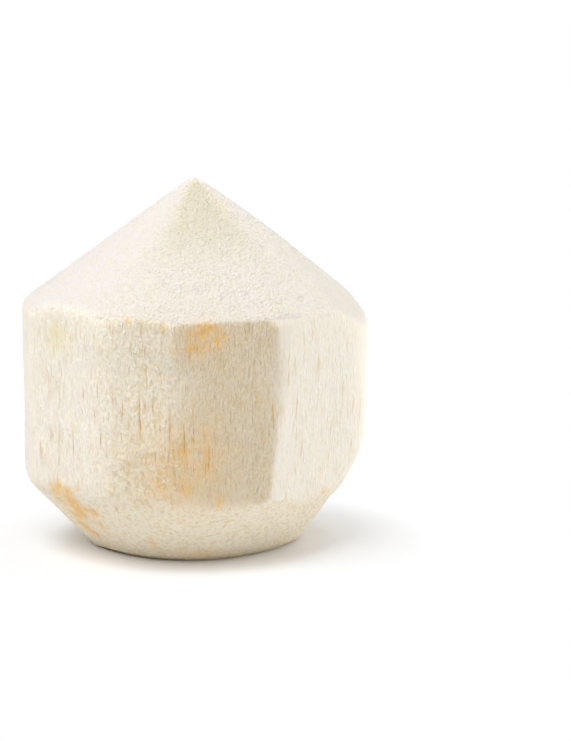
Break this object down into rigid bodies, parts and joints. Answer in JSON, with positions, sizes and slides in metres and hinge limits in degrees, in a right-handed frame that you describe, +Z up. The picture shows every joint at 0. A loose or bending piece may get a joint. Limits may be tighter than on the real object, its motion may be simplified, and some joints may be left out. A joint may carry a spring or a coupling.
{
  "type": "coconut",
  "caption": "Trimmed young coconut: white husk cut to a shallow point on top, with upright knife-cut sides, a bevelled foot and a small flat base that it stands on.",
  "frame": {"origin": "middle of the flat base, below the pointed tip", "axes": "+Z up along the fruit's axis to its tip, -Y the front with the broad flat cut, +X to the right of the front"},
  "size_m": [0.118, 0.1161, 0.1247],
  "materials": {
    "husk": "matte"
  },
  "bodies": {
    "root": {"husk": "husk"}
  },
  "joints": []
}
